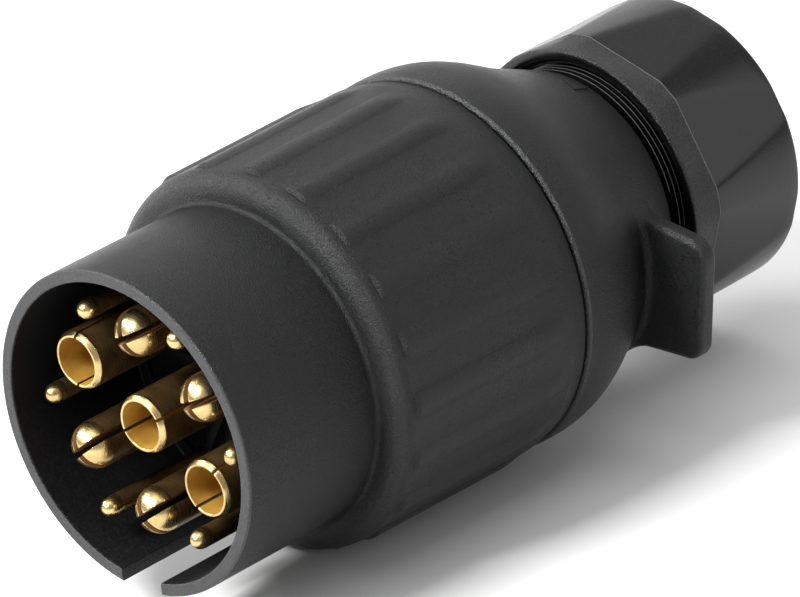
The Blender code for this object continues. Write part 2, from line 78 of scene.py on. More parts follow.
def nodes_of(material):
    material.use_nodes = True
    return material.node_tree.nodes, material.node_tree.links


def moulded_plastic(name, dark, light, roughness, spread, grain_mm, depth_um, specular=0.5):
    """Moulded black plastic: speckled colour, a fine spark-eroded grain and broad uneven gloss."""
    material = bpy.data.materials.new(name)
    nodes, links = nodes_of(material)
    shader = nodes["Principled BSDF"]
    shader.inputs["Specular IOR Level"].default_value = specular
    place = nodes.new("ShaderNodeTexCoord")

    def noise(scale_mm, detail):
        made = nodes.new("ShaderNodeTexNoise")
        made.inputs["Scale"].default_value = 1 / (scale_mm * MM)
        made.inputs["Detail"].default_value = detail
        made.inputs["Roughness"].default_value = 0.6
        links.new(place.outputs["Object"], made.inputs["Vector"])
        return made

    def spread_over(source, low, high, out_low, out_high):
        made = nodes.new("ShaderNodeMapRange")
        made.inputs["From Min"].default_value = low
        made.inputs["From Max"].default_value = high
        made.inputs["To Min"].default_value = out_low
        made.inputs["To Max"].default_value = out_high
        links.new(source.outputs["Fac"], made.inputs["Value"])
        return made

    grain = noise(grain_mm, 3)
    cloud = noise(9.0, 2)
    ramp = nodes.new("ShaderNodeValToRGB")
    ramp.color_ramp.elements[0].position = 0.38
    ramp.color_ramp.elements[0].color = (*dark, 1)
    ramp.color_ramp.elements[1].position = 0.66
    ramp.color_ramp.elements[1].color = (*light, 1)
    links.new(grain.outputs["Fac"], ramp.inputs["Fac"])
    links.new(ramp.outputs["Color"], shader.inputs["Base Color"])
    fine = spread_over(grain, 0.35, 0.7, roughness - spread, roughness + spread)
    broad = spread_over(cloud, 0.3, 0.7, -0.5 * spread, 0.5 * spread)
    total = nodes.new("ShaderNodeMath")
    links.new(fine.outputs["Result"], total.inputs[0])
    links.new(broad.outputs["Result"], total.inputs[1])
    links.new(total.outputs["Value"], shader.inputs["Roughness"])
    bump = nodes.new("ShaderNodeBump")
    bump.inputs["Distance"].default_value = depth_um * 1e-6
    links.new(grain.outputs["Fac"], bump.inputs["Height"])
    links.new(bump.outputs["Normal"], shader.inputs["Normal"])
    return material


def turned_metal(name, colour, tarnish, roughness, spread, line_mm, depth_um, metallic=1.0):
    """Turned metal: fine rings across the axis of the turning, faint tarnish and slightly uneven polish."""
    material = bpy.data.materials.new(name)
    nodes, links = nodes_of(material)
    shader = nodes["Principled BSDF"]
    shader.inputs["Metallic"].default_value = metallic
    place = nodes.new("ShaderNodeTexCoord")
    stretch = nodes.new("ShaderNodeMapping")
    stretch.inputs["Scale"].default_value = (0.04, 1.0, 0.04)
    links.new(place.outputs["Object"], stretch.inputs["Vector"])
    lines = nodes.new("ShaderNodeTexNoise")
    lines.inputs["Scale"].default_value = 1 / (line_mm * MM)
    lines.inputs["Detail"].default_value = 4
    links.new(stretch.outputs["Vector"], lines.inputs["Vector"])
    cloud = nodes.new("ShaderNodeTexNoise")
    cloud.inputs["Scale"].default_value = 1 / (2.5 * MM)
    cloud.inputs["Detail"].default_value = 3
    links.new(place.outputs["Object"], cloud.inputs["Vector"])
    ramp = nodes.new("ShaderNodeValToRGB")
    ramp.color_ramp.elements[0].position = 0.3
    ramp.color_ramp.elements[0].color = (*tarnish, 1)
    ramp.color_ramp.elements[1].position = 0.62
    ramp.color_ramp.elements[1].color = (*colour, 1)
    links.new(cloud.outputs["Fac"], ramp.inputs["Fac"])
    links.new(ramp.outputs["Color"], shader.inputs["Base Color"])
    polish = nodes.new("ShaderNodeMapRange")
    polish.inputs["From Min"].default_value = 0.3
    polish.inputs["From Max"].default_value = 0.7
    polish.inputs["To Min"].default_value = roughness - spread
    polish.inputs["To Max"].default_value = roughness + spread
    links.new(lines.outputs["Fac"], polish.inputs["Value"])
    links.new(polish.outputs["Result"], shader.inputs["Roughness"])
    bump = nodes.new("ShaderNodeBump")
    bump.inputs["Distance"].default_value = depth_um * 1e-6
    links.new(lines.outputs["Fac"], bump.inputs["Height"])
    links.new(bump.outputs["Normal"], shader.inputs["Normal"])
    return material


# A few narrow edges and bands have a lighter, shinier material of their own: painted highlights where the light
# catches them.
matte = moulded_plastic(
    "matte_plastic", (0.001, 0.0011, 0.0014), (0.0095, 0.0098, 0.0106), 0.36, 0.10, 0.2, 210, specular=0.3)
# The rim face gets a lighter grey than the body: painted light from the front.
rim_face_painted_light = moulded_plastic(
    "rim_face_painted_light", (0.019, 0.0192, 0.02), (0.052, 0.0525, 0.054), 0.55, 0.08, 0.18, 60, specular=0.3)
gloss = moulded_plastic(
    "gloss_plastic", (0.0012, 0.0012, 0.0014), (0.004, 0.004, 0.0044), 0.23, 0.05, 0.25, 16, specular=0.36)
# The nut's front cone gets a lighter, shinier plastic: a painted highlight.
nut_cone_painted_highlight = moulded_plastic(
    "nut_cone_painted_highlight_plastic", (0.0016, 0.0016, 0.0018), (0.012, 0.0122, 0.013), 0.34, 0.10, 0.2, 150, specular=0.42)
# The shoulder band behind the rim gets a slightly lighter, shinier plastic: a painted highlight.
shoulder_band_painted_highlight = moulded_plastic(
    "shoulder_band_painted_highlight", (0.001, 0.0011, 0.0014), (0.010, 0.0103, 0.0111), 0.33, 0.10, 0.2, 210, specular=0.37)
# Edges that face the light get a lighter, shinier plastic: a painted highlight.
sheen_edge_painted_highlight = moulded_plastic(
    "sheen_edge_painted_highlight_plastic", (0.0014, 0.0015, 0.0018), (0.013, 0.0133, 0.014), 0.33, 0.10, 0.2, 190, specular=0.58)
# The thread crests and the nut's facet edge get a much lighter grey: painted highlight lines.
light_line_painted_highlight = moulded_plastic(
    "light_line_painted_highlight_plastic", (0.05, 0.0505, 0.052), (0.10, 0.101, 0.103), 0.5, 0.08, 0.18, 20, specular=0.5)
insert_black = moulded_plastic(
    "insert_plastic", (0.004, 0.004, 0.0045), (0.009, 0.009, 0.010), 0.5, 0.06, 0.3, 8, specular=0.12)
nylon = moulded_plastic("washer_nylon", (0.55, 0.53, 0.47), (0.66, 0.64, 0.58), 0.45, 0.06, 0.4, 6)
rubber = moulded_plastic("seal_rubber", (0.012, 0.012, 0.012), (0.022, 0.022, 0.022), 0.78, 0.06, 0.35, 10)
brass = turned_metal("polished_brass", (0.65, 0.50, 0.23), (0.48, 0.345, 0.14), 0.27, 0.08, 0.06, 2.0)
# The bores are rougher than the rest of the brass, and their deeper orange is a painted reflection, standing in
# for light bouncing round inside.
bore_painted_reflection_brass = turned_metal(
    "contact_bore_painted_reflection_brass", (0.48, 0.28, 0.045), (0.35, 0.17, 0.026), 0.45, 0.08, 0.10, 2.5, metallic=0.3)
# The contacts' shafts get a dark brown: painted shade, standing in for the dark shroud round them.
shaft_painted_shade_brass = turned_metal(
    "contact_shaft_painted_shade_brass", (0.14, 0.083, 0.032), (0.07, 0.04, 0.015), 0.30, 0.08, 0.06, 1.5, metallic=0.7)
# The slot walls get a dark brown: painted shade inside the narrow slots.
slot_painted_shade_brass = turned_metal(
    "contact_slot_painted_shade_brass", (0.24, 0.12, 0.045), (0.15, 0.07, 0.028), 0.5, 0.08, 0.06, 1.5, metallic=0.4)
steel = turned_metal("screw_steel", (0.62, 0.61, 0.58), (0.50, 0.49, 0.46), 0.32, 0.06, 0.06, 1.0)


# ---------------------------------------------------------------------- mesh helpers

def as_object(name, mesh, material):
    mesh.materials.clear()
    mesh.materials.append(material)
    obj = bpy.data.objects.new(name, mesh)
    bpy.context.scene.collection.objects.link(obj)
    return obj


def shade(obj, sharp=50):
    obj.data.shade_smooth()
    obj.data.set_sharp_from_angle(angle=radians(sharp))
    return obj


SUPPORT = 0.12  # how far from a fillet its flat neighbour gets a point, which keeps the flat shaded flat


def rounded(corners, segments=4):
    """The (r, depth) points of an outline whose corners (r, depth, fillet) are rounded off."""
    points = []
    count = len(corners)
    spots = [np.array(c[:2], float) for c in corners]
    fillets = [c[2] if len(c) > 2 else 0.0 for c in corners]
    for i in range(count):
        here, before, after = spots[i], spots[i - 1], spots[(i + 1) % count]
        on_axis = here[0] == 0
        if fillets[i] <= 0 or on_axis:
            points.append(here)
            continue
        u, v = before - here, after - here
        lu, lv = np.linalg.norm(u), np.linalg.norm(v)
        u, v = u / lu, v / lv
        opening = acos(max(-1, min(1, float(u @ v))))
        reach = fillets[i] / tan(opening / 2)
        first_room = 0.98 * lu * fillets[i] / (fillets[i] + fillets[i - 1])
        next_room = 0.98 * lv * fillets[i] / (fillets[i] + fillets[(i + 1) % count])
        reach = min(reach, first_room, next_room)
        radius = reach * tan(opening / 2)
        if reach + SUPPORT < first_room:
            points.append(here + u * (reach + SUPPORT))
        middle = here + (u + v) / np.linalg.norm(u + v) * radius / sin(opening / 2)
        start = here + u * reach - middle
        side = here + v * reach - middle
        sweep = pi - opening
        if sweep < 1e-4:
            points.append(here)
            continue
        for k in range(segments + 1):
            t = k / segments
            points.append(middle + (start * sin((1 - t) * sweep) + side * sin(t * sweep)) / sin(sweep))
        if reach + SUPPORT < next_room:
            points.append(here + v * (reach + SUPPORT))
    return [(float(r), float(d)) for r, d in points]


def spline(points, spacing):
    """Points along a smooth curve through the given ones, about this far apart."""
    path = [np.array(p, float) for p in points]
    path = [2 * path[0] - path[1]] + path + [2 * path[-1] - path[-2]]
    out = []
    for a, b, c, d in zip(path, path[1:], path[2:], path[3:]):
        steps = max(1, round(float(np.linalg.norm(c - b)) / spacing))
        for k in range(steps):
            t = k / steps
            out.append(0.5 * (2 * b + (c - a) * t + (2 * a - 5 * b + 4 * c - d) * t * t
                              + (3 * b - a - 3 * c + d) * t ** 3))
    out.append(path[-2])
    return [(float(p[0]), float(p[1])) for p in out]


def ring_mesh(name, radius, depth, angles, material, sharp):
    """A solid ring from rows of radius and depth at each angle, closed both ways round."""
    rows, cols = radius.shape
    turn = np.radians(angles)[None, :]
    verts = np.stack([radius * np.cos(turn), depth, radius * np.sin(turn)], -1).reshape(-1, 3) * MM
    i, j = np.meshgrid(np.arange(rows), np.arange(cols), indexing="ij")
    ni, nj = (i + 1) % rows, (j + 1) % cols
    quads = np.stack([i * cols + j, i * cols + nj, ni * cols + nj, ni * cols + j], -1).reshape(-1, 4)
    mesh = bpy.data.meshes.new(name)
    mesh.from_pydata(verts.tolist(), [], quads.tolist())
    return shade(point_outwards(as_object(name, mesh, material)), sharp)


def point_outwards(obj):
    made = bmesh.new()
    made.from_mesh(obj.data)
    if made.calc_volume(signed=True) < 0:
        bmesh.ops.reverse_faces(made, faces=made.faces)
    made.to_mesh(obj.data)
    made.free()
    return obj


def turned(name, profile, material, steps=96, centre=(0.0, 0.0), first=0.0, direction=None):
    """A turned solid from its (r, depth) outline, which may start and end on the axis."""
    made = bmesh.new()
    on_axis = profile[0][0] == 0 and profile[-1][0] == 0
    rows = []
    for r, d in profile:
        if r == 0:
            rows.append([made.verts.new((0, d * MM, 0))])
            continue
        rows.append([
            made.verts.new((r * cos(a) * MM, d * MM, r * sin(a) * MM))
            for a in (radians(first + 360 * k / steps) for k in range(steps))
        ])
    pairs = list(zip(rows, rows[1:] + rows[:1]))
    if on_axis:
        pairs = pairs[:-1]
    for one, two in pairs:
        for k in range(steps):
            n = (k + 1) % steps
            corners = [one[k % len(one)], one[n % len(one)], two[n % len(two)], two[k % len(two)]]
            made.faces.new(list(dict.fromkeys(corners)))
    if made.calc_volume(signed=True) < 0:
        bmesh.ops.reverse_faces(made, faces=made.faces)
    if direction is not None:
        turn = Vector((0, 1, 0)).rotation_difference(Vector(direction)).to_matrix()
        bmesh.ops.rotate(made, matrix=turn, verts=made.verts)
    bmesh.ops.translate(made, vec=(centre[0] * MM, 0, centre[1] * MM), verts=made.verts)
    mesh = bpy.data.meshes.new(name)
    made.to_mesh(mesh)
    made.free()
    return shade(as_object(name, mesh, material))


def box_tool(size, centre, turn_y=0.0):
    """A block with its sides across (x), along (depth) and up (z), turned about the plug's axis."""
    made = bmesh.new()
    bmesh.ops.create_cube(made, size=1.0)
    bmesh.ops.scale(made, vec=Vector(size) * MM, verts=made.verts)
    bmesh.ops.rotate(made, matrix=Matrix.Rotation(-radians(turn_y), 3, "Y"), verts=made.verts)
    bmesh.ops.translate(made, vec=Vector(centre) * MM, verts=made.verts)
    mesh = bpy.data.meshes.new("tool")
    made.to_mesh(mesh)
    made.free()
    return as_object("tool", mesh, matte)


def combine(obj, tool, operation="DIFFERENCE", edge=0.0, segments=2, sharp=50, solver="EXACT"):
    """Cuts or joins the tool, then rounds the new edges between the two shapes."""
    material = obj.data.materials[0]
    while len(obj.data.materials) < 2:
        obj.data.materials.append(material)
    tool.data.materials.append(matte)
    tool.data.polygons.foreach_set("material_index", [1] * len(tool.data.polygons))
    modifier = obj.modifiers.new("combine", "BOOLEAN")
    modifier.operation = operation
    modifier.solver = solver
    modifier.object = tool
    bpy.context.view_layer.update()
    result = bpy.data.meshes.new_from_object(obj.evaluated_get(bpy.context.evaluated_depsgraph_get()))
    obj.modifiers.clear()
    made = bmesh.new()
    made.from_mesh(result)
    bmesh.ops.dissolve_degenerate(made, dist=1e-7, edges=made.edges)
    if edge > 0:
        seams = [
            e for e in made.edges
            if len(e.link_faces) == 2 and e.link_faces[0].material_index != e.link_faces[1].material_index
        ]
        bmesh.ops.bevel(
            made, geom=seams, offset=edge * MM, segments=segments, profile=0.5,
            affect="EDGES", clamp_overlap=True, miter_outer="SHARP",
        )
    for face in made.faces:
        face.material_index = 0
    mesh = bpy.data.meshes.new(obj.name)
    made.to_mesh(mesh)
    made.free()
    mesh.materials.append(material)
    obj.data = mesh
    bpy.data.objects.remove(tool, do_unlink=True)
    return shade(obj, sharp)


def recolour(obj, material, chosen, centre=(0, 0)):
    """Gives another material to the faces picked by their distance from the centre line and their depth."""
    obj.data.materials.append(material)
    index = len(obj.data.materials) - 1
    for face in obj.data.polygons:
        x, depth, z = (c / MM for c in face.center)
        if chosen(sqrt((x - centre[0]) ** 2 + (z - centre[1]) ** 2), depth):
            face.material_index = index


def finish_piece(obj, body, slot, *nodes):
    obj.data.transform(Matrix.Translation(AXIS))
    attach(obj, body)
    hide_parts(*nodes)
    return obj


def polar(radius, angle):
    """The x and z of a point at this radius and angle about the plug's axis."""
    return radius * cos(radians(angle)), radius * sin(radians(angle))


# ---------------------------------------------------------------------- front shell

RIB_COUNT = 20
RIB_PITCH = 360 / RIB_COUNT
RIB_HALF = 4.5
RIB_HEIGHT = 0.42
RIB_START, RIB_END = 22.36, 47.22
FLUTE_DEPTH = 0.06
GRIP_FRONT, GRIP_REAR = 22.66, 22.95
PARTING_ANGLES = (5, 185)
PARTING_HEIGHT = 0.03


def build_front_shell():
    start, end = depths("front_shell")
    shroud, bore, keyway = 19.2, 17.7, 6.1
    crest = [0, 0.8, 1.6, 2.4, 3.2, 3.8, 4.25, 4.42]
    flute = [4.58, 4.9, 5.6, 6.6, 7.8, 9.0]
    half = crest + flute
    offsets = sorted({-o for o in half[:-1]} | set(half))
    angles = {round(RIB_PITCH * k + o, 3) % 360 for k in range(RIB_COUNT) for o in offsets}
    angles |= {a + o for a in PARTING_ANGLES for o in (-0.35, -0.12, 0.12, 0.35)}
    angles = np.array(sorted(angles))
    offset = np.abs((angles + RIB_PITCH / 2) % RIB_PITCH - RIB_PITCH / 2)
    lobe = np.where(offset < RIB_HALF, RIB_HEIGHT * (1 - (offset / RIB_HALF) ** 2), 0)
    rest = (offset - RIB_HALF) / (RIB_PITCH / 2 - RIB_HALF)
    hollow = np.where(offset > RIB_HALF, -FLUTE_DEPTH * np.sin(np.clip(rest, 0, 1) * pi / 2), 0)
    from_parting = np.min([np.abs(angles - a) for a in PARTING_ANGLES], axis=0)
    seam = PARTING_HEIGHT * np.clip((0.35 - from_parting) / 0.23, 0, 1)

    front = rounded([
        (bore, 0.8),
        (bore, start, 0.2),
        (shroud, start, 0.26),
        (shroud, 19.86, 0.5),
        (GRIP_FRONT, 19.88, 2.42),
        (GRIP_FRONT + 0.01, RIB_START - 0.02),
    ], 7)[1:]
    rear = rounded([
        (GRIP_REAR, RIB_END + 0.3),
        (22.5, end, 0.15),
        (20.6, end, 0.3),
        (20.6, 41.2, 0.1),
        (19.0, 41.2, 0.1),
        (19.0, 21.5, 0.2),
        (16.2, 21.5, 0.15),
        (16.2, 18.6, 0.15),
        (bore, 18.6, 0.2),
        (bore, 17.0),
        (bore, 0.8),
    ], 3)
    rows = [(r + (seam if d > 0.3 and r > bore + 0.5 else 0 * seam), d) for r, d in front]
    rib_depths = [RIB_START + o for o in (0, 0.06, 0.14, 0.24, 0.34, 0.42, 0.48, 0.6, 1.5)]
    rib_depths += list(np.linspace(RIB_START + 4, RIB_END - 5, 6))
    rib_depths += [RIB_END - o for o in (4.0, 3.3, 2.6, 1.9, 1.3, 0.8, 0.4, 0.0)]
    for d in rib_depths:
        along = (d - RIB_START) / (RIB_END - RIB_START)
        rise, fall = min((d - RIB_START) / 0.48, 1), min((RIB_END - d) / 4.0, 1)
        lift = rise * fall * fall * (3 - 2 * fall)
        fade = np.clip(min((d - RIB_START) / 3.0, (RIB_END - d) / 3.0), 0, 1)
        base = GRIP_FRONT + (GRIP_REAR - GRIP_FRONT) * along
        rows.append((base + lobe * lift + hollow * fade + seam * (lobe <= 0), d))
    rows += [(r + 0 * seam, d) for r, d in rear]
    radius = np.array([r for r, d in rows])
    depth = np.array([0 * seam + d for r, d in rows])
    shell = ring_mesh("front_shell_moulding", radius, depth, angles, matte, sharp=40)
    key = box_tool((keyway, 22.0, 6.0), (0, 17.8 - 11.0, -shroud))
    shell = combine(shell, key, edge=0.14, segments=2, sharp=40)
    recolour(shell, insert_black, lambda r, d: d > 0.3 and r < bore + 0.12)
    # The rim face: lighter grey, painted light.
    recolour(shell, rim_face_painted_light, lambda r, d: d < 0.09)
    # The rim's outer fillet: painted highlight.
    recolour(shell, sheen_edge_painted_highlight, lambda r, d: 0.05 < d < 0.27 and r > 19.0)
    # The shoulder band: painted highlight.
    recolour(shell, shoulder_band_painted_highlight, lambda r, d: 20.1 < d < 21.4 and r > 20.8)
    return finish_piece(shell, "shell", "body_plastic", "front_shell")


# ---------------------------------------------------------------------- contact insert

def build_insert():
    start, end = depths("contact_insert")
    outline = rounded([
        (0, start), (15.95, start, 0.25), (15.95, 21.75, 0.1), (18.7, 21.75, 0.1), (18.7, end, 0.3), (0, end),
    ], 3)
    insert = turned("contact_insert_moulding", outline, insert_black, 128)
    for angle in range(0, 360, 60):
        x, z = polar(9.6, angle)
        web = box_tool((9.0, 1.6, 0.9), (x, start - 0.5, z), angle)
        insert = combine(insert, web, "UNION", edge=0.15, segments=2)
    spots = [(r + 0.2, polar(circle, angle)) for r, circle, angle in CONTACT_PLACES]
    spots += [(0.9, polar(17.5, angle)) for angle in (90, 210, 330)]
    for radius, centre in spots:
        hole = turned("hole", [(0, start - 3), (radius, start - 3), (radius, end + 1), (0, end + 1)],
                      insert_black, 48, centre)
        insert = combine(insert, hole, solver="MANIFOLD")
    return finish_piece(insert, "shell", "insert_plastic", "contact_insert")


# ---------------------------------------------------------------------- rear housing

SHOULDER = [
    (22.80, 50.62), (22.92, 51.4), (22.95, 52.6), (22.85, 54.6), (22.4, 56.8), (21.6, 59.0),
    (20.3, 61.6), (19.05, 64.0), (17.4, 68.0), (16.1, 71.2),
]
LUG_ANGLE = -8.0
LUG_HALF_WIDTH = 7.7
LUG_REACH = 27.17
LUG_CORNER = 2.4
LUG_FRONT = 64.3
LUG_THICKNESS = 2.3
LUG_EDGE = 0.6
LUG_ROOT = 14.6
LUG_ROOT_DROP = 1.7


def shoulder_radius(depth):
    return float(np.interp(depth, [d for r, d in SHOULDER], [r for r, d in SHOULDER]))


def lug_mesh():
    """The lug: rounded-rectangle sections from a flared root on the shoulder out to the tip."""
    half_width, reach, corner, edge = LUG_HALF_WIDTH, LUG_REACH, LUG_CORNER, LUG_EDGE
    middle = LUG_FRONT + LUG_THICKNESS / 2
    half = LUG_THICKNESS / 2
    table = spline(SHOULDER, 0.3)
    table_r, table_d = np.array(table).T

    def section(width, depth_half, fillet):
        """Points (across, depth offset) and outward normals round a rounded rectangle."""
        points, normals = [], []
        for cx, cy, turn in ((1, 1, 0), (-1, 1, 90), (-1, -1, 180), (1, -1, 270)):
            for k in range(5):
                a = radians(turn + 90 * k / 4)
                points.append((
                    cx * (width - fillet) + fillet * cos(a),
                    cy * (depth_half - fillet) + fillet * sin(a),
                ))
                normals.append((cos(a), sin(a)))
            nx, ny = {0: (-1, 1), 90: (-1, -1), 180: (1, -1), 270: (1, 1)}[turn]
            steps = 28 if turn in (0, 180) else 3
            x0, y0 = points[-1]
            if turn in (0, 180):
                x1, y1 = nx * (width - fillet), y0
            else:
                x1, y1 = x0, ny * (depth_half - fillet)
            for k in range(1, steps):
                points.append((x0 + (x1 - x0) * k / steps, y0 + (y1 - y0) * k / steps))
                normals.append(normals[-1])
        return np.array(points), np.array(normals)

    def drooped(out, across):
        """The lower side widens towards the root."""
        drop = LUG_ROOT_DROP * np.maximum(reach - corner - out, 0) / (reach - corner - LUG_ROOT)
        return across - drop * np.clip(-across / half_width, 0, 1)

    points, normals = section(half_width, half, edge)
    flare = 1.3 + 1.3 * np.clip(-normals[:, 0], 0, 1)
    rows = []
    for k in range(9):
        phi = radians(90 - 90 * k / 8)
        spread, height = flare * (1 - cos(phi)), flare * (1 - sin(phi))
        straight = points[:, 0] + normals[:, 0] * spread
        along = middle + points[:, 1] + normals[:, 1] * spread
        body = np.interp(along, table_d, table_r)
        across = straight
        for _ in range(2):
            out = np.sqrt(np.maximum(body ** 2 - across ** 2, 0.01)) + height
            across = drooped(out, straight)
        if k == 0:
            out = out - 0.05
        rows.append((out, across, along))
    inner = (rows[0][0] - 1.6, rows[0][1], rows[0][2])
    rows.insert(0, inner)
    last_out, last_along = rows[-1][0], rows[-1][2]
    for t in (0.35, 0.7, 1.0):
        out = last_out + (reach - corner - last_out) * t
        rows.append((out, drooped(out, straight), last_along))
    steps = [radians(a) for a in (12, 24, 36, 48, 60, 70, 78)]
    stops = [reach - corner + corner * sin(a) for a in steps]
    stops = [s for s in stops if s < reach - edge]
    stops += [reach - edge + edge * sin(radians(a)) for a in (0, 22, 45, 67, 90)]
    for stop in stops:
        across_half = half_width - corner + sqrt(max(corner ** 2 - (stop - reach + corner) ** 2, 0))
        if stop > reach - edge:
            depth_half = half - edge + sqrt(max(edge ** 2 - (stop - reach + edge) ** 2, 0))
        else:
            depth_half = half
        fresh, _ = section(across_half, depth_half, min(edge, depth_half * 0.9))
        rows.append((stop + 0 * fresh[:, 0], fresh[:, 0], middle + fresh[:, 1]))
    made = bmesh.new()
    a = radians(LUG_ANGLE)
    rings = []
    for out, across, along in rows:
        out = out + 0 * across
        rings.append([
            made.verts.new(((o * cos(a) - c * sin(a)) * MM, d * MM, (o * sin(a) + c * cos(a)) * MM))
            for o, c, d in zip(out, across, along)
        ])
    for one, two in zip(rings, rings[1:]):
        for k in range(len(one)):
            n = (k + 1) % len(one)
            made.faces.new((one[k], one[n], two[n], two[k]))
    made.faces.new(rings[0])
    made.faces.new(rings[-1])
    bmesh.ops.recalc_face_normals(made, faces=made.faces)
    mesh = bpy.data.meshes.new("lug")
    made.to_mesh(mesh)
    made.free()
    return as_object("lug", mesh, matte)


def arrow_mesh():
    """A small raised triangle on the shoulder beside the nut."""
    corners = [(69.0, 71.6), (70.4, 83.3), (71.4, 71.7)]
    made = bmesh.new()
    rings = []
    for lift in (-0.5, 0.16):
        ring = []
        for depth, angle in corners:
            x, z = polar(shoulder_radius(depth) + lift, angle)
            ring.append(made.verts.new((x * MM, depth * MM, z * MM)))
        rings.append(ring)
    for k in range(3):
        n = (k + 1) % 3
        made.faces.new((rings[0][k], rings[0][n], rings[1][n], rings[1][k]))
    made.faces.new(rings[0])
    made.faces.new(rings[1])
    bmesh.ops.recalc_face_normals(made, faces=made.faces)
    mesh = bpy.data.meshes.new("arrow")
    made.to_mesh(mesh)
    made.free()
    return as_object("arrow", mesh, matte)


THREAD_SECTION = ((-0.32, -0.36), (0, -0.30), (1, -0.08), (1, 0.08), (0, 0.30), (-0.32, 0.36))


def thread_mesh(core, crest, start, first, lead, width, turns, steps):
    """A helical ridge that starts at this angle and fades in and out, sunk into its core."""
    made = bmesh.new()
    total = int(turns * steps)
    rings = []
    for i in range(total + 1):
        fade = min(1, i / (steps / 2), (total - i) / (steps / 2))
        a = radians(first) + 2 * pi * i / steps
        d0 = start + lead * i / steps
        ring = []
        for height, offset in THREAD_SECTION:
            r = core + (crest - core) * fade * height if height > 0 else core + height
            ring.append(made.verts.new((r * cos(a) * MM, (d0 + offset * width) * MM, r * sin(a) * MM)))
        rings.append(ring)
    for one, two in zip(rings, rings[1:]):
        for k in range(len(one)):
            n = (k + 1) % len(one)
            made.faces.new((one[k], one[n], two[n], two[k]))
    made.faces.new(rings[0])
    made.faces.new(rings[-1])
    bmesh.ops.recalc_face_normals(made, faces=made.faces)
    mesh = bpy.data.meshes.new("thread")
    made.to_mesh(mesh)
    made.free()
    return as_object("thread", mesh, matte)


def build_rear_housing():
    start, end = depths("rear_housing")
    spigot = rounded([
        (17.6, start, 0.2),
        (20.2, start, 0.3),
        (20.2, 47.65, 0.1),
        (18.9, 47.65, 0.1),
        (18.9, 49.35, 0.1),
        (20.2, 49.35, 0.1),
        (20.2, 50.3, 0.1),
        (22.86, 50.3, 0.45),
        (22.9, 51.2),
    ], 4)[:-1]
    shoulder = [p for p in spline(SHOULDER, 0.8) if p[1] > 50.7]
    rear = rounded([
        (16.1, 71.2),
        (15.65, 72.3, 0.22),
        (14.1, 72.5, 0.1),
        (14.1, end, 0.4),
        (11.8, end, 0.3),
        (11.8, 77.0, 0.1),
        (8.8, 77.0, 0.2),
        (8.8, 75.0, 0.5),
        (12.4, 71.0, 1.5),
        (19.4, 56.0, 2.0),
        (19.4, 53.5, 1.0),
        (17.6, 51.0, 0.8),
    ], 4)
    profile = spigot + shoulder[:-1] + rear
    steps = 180
    angles = np.arange(steps) * 360 / steps
    radius = np.array([[r] * steps for r, d in profile])
    depth = np.array([[d] * steps for r, d in profile])
    housing = ring_mesh("rear_housing_moulding", radius, depth, angles, matte, sharp=45)
    housing = combine(housing, lug_mesh(), "UNION", sharp=45)
    housing = combine(housing, arrow_mesh(), "UNION", edge=0.06, segments=1, sharp=45)
    for first in (20, 200):
        ridge = thread_mesh(14.1, 15.15, 72.8, first, 1.5, 0.75, 8, 72)
        housing = combine(housing, ridge, "UNION", sharp=45)
    recolour(housing, gloss, lambda r, d: d > 72.4 and 13.5 < r < 15.4)
    # The housing's front edge at the seam: painted highlight.
    recolour(housing, sheen_edge_painted_highlight, lambda r, d: 50.3 < d < 50.72 and r > 22.3)
    # The lug's top edge: painted highlight.
    lug_edge = (LUG_FRONT + 0.01, LUG_FRONT + LUG_EDGE)
    recolour(housing, sheen_edge_painted_highlight, lambda r, d: lug_edge[0] < d < lug_edge[1] and 22.6 < r < 26.6)
    # The thread crests: painted highlight lines.
    recolour(housing, light_line_painted_highlight, lambda r, d: d > 72.6 and 15.12 < r < 15.4)
    return finish_piece(housing, "housing", "body_plastic", "rear_housing")


# ---------------------------------------------------------------------- gland nut

NUT_CORNER = 6.0


def soft_min(a, b, width):
    blend = np.clip(0.5 + 0.5 * (b - a) / width, 0, 1)
    return b * (1 - blend) + a * blend - width * blend * (1 - blend)


